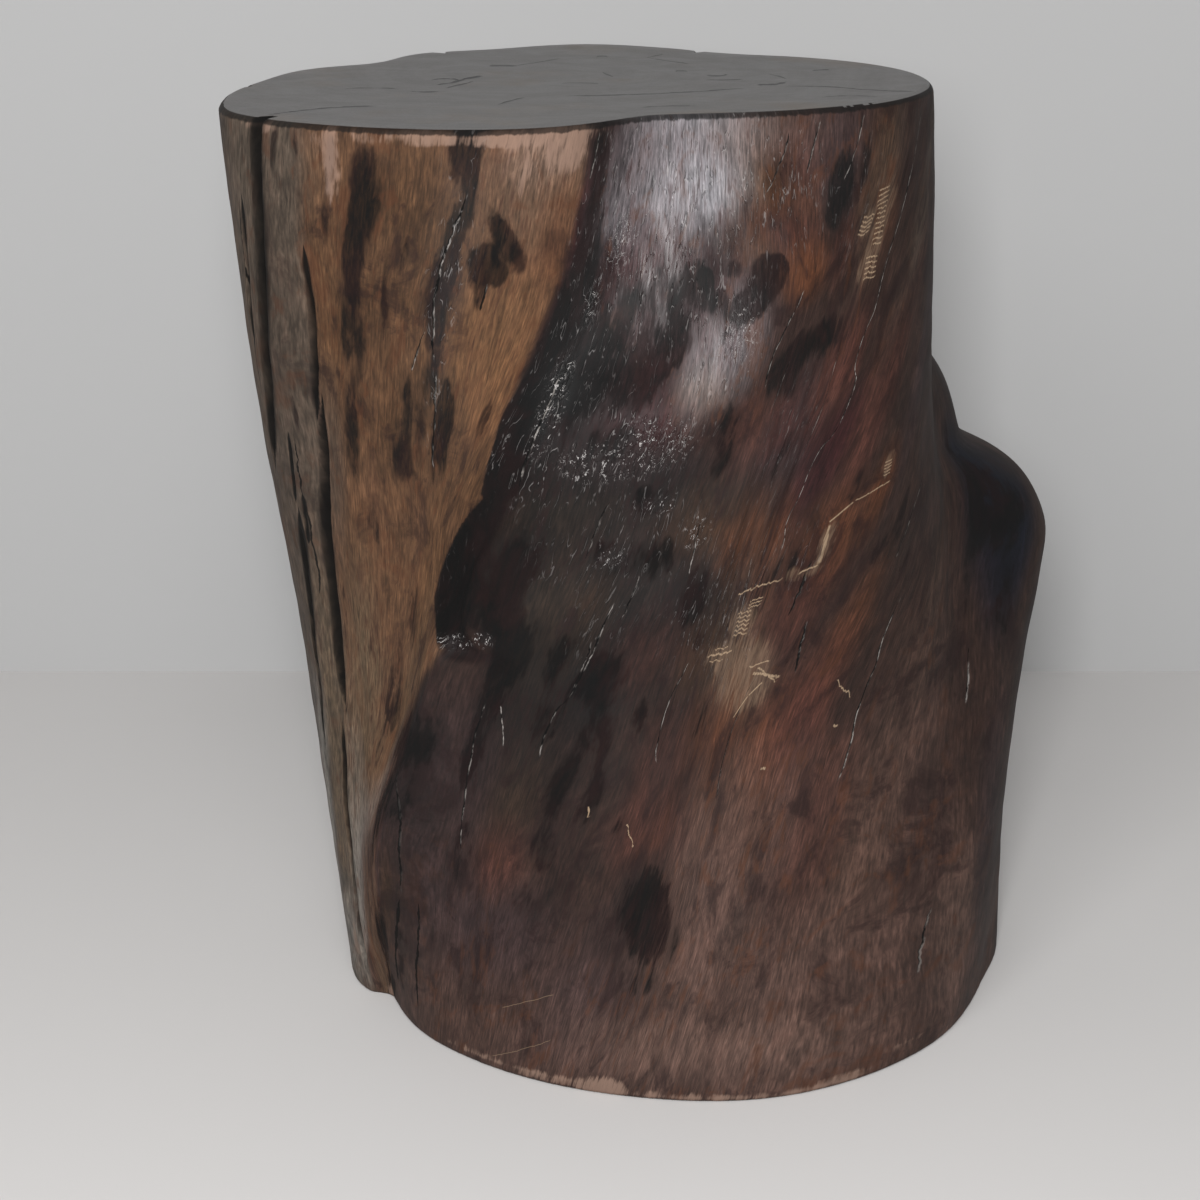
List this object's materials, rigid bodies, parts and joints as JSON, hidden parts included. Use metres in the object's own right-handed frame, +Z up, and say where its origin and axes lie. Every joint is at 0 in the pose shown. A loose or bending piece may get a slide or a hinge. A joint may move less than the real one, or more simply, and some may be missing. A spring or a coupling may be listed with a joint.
{
  "type": "log stool",
  "caption": "Solid stool sawn from a log of spiral-grained hardwood, fluted, with a burl on a buttress and a flat sawn seat and foot.",
  "frame": {"origin": "centre of the bounding box's bottom face, on the plane of the sawn foot", "axes": "+Z up, square to the sawn seat and foot; -Y towards the front, where the two stems meet over the hollow; +X towards the burl"},
  "size_m": [0.4024, 0.3306, 0.45],
  "materials": {
    "wood": "sanded and varnished dark hardwood, glossy on the sides and duller on the sawn seat"
  },
  "bodies": {
    "root": {"trunk": "wood"}
  },
  "joints": []
}
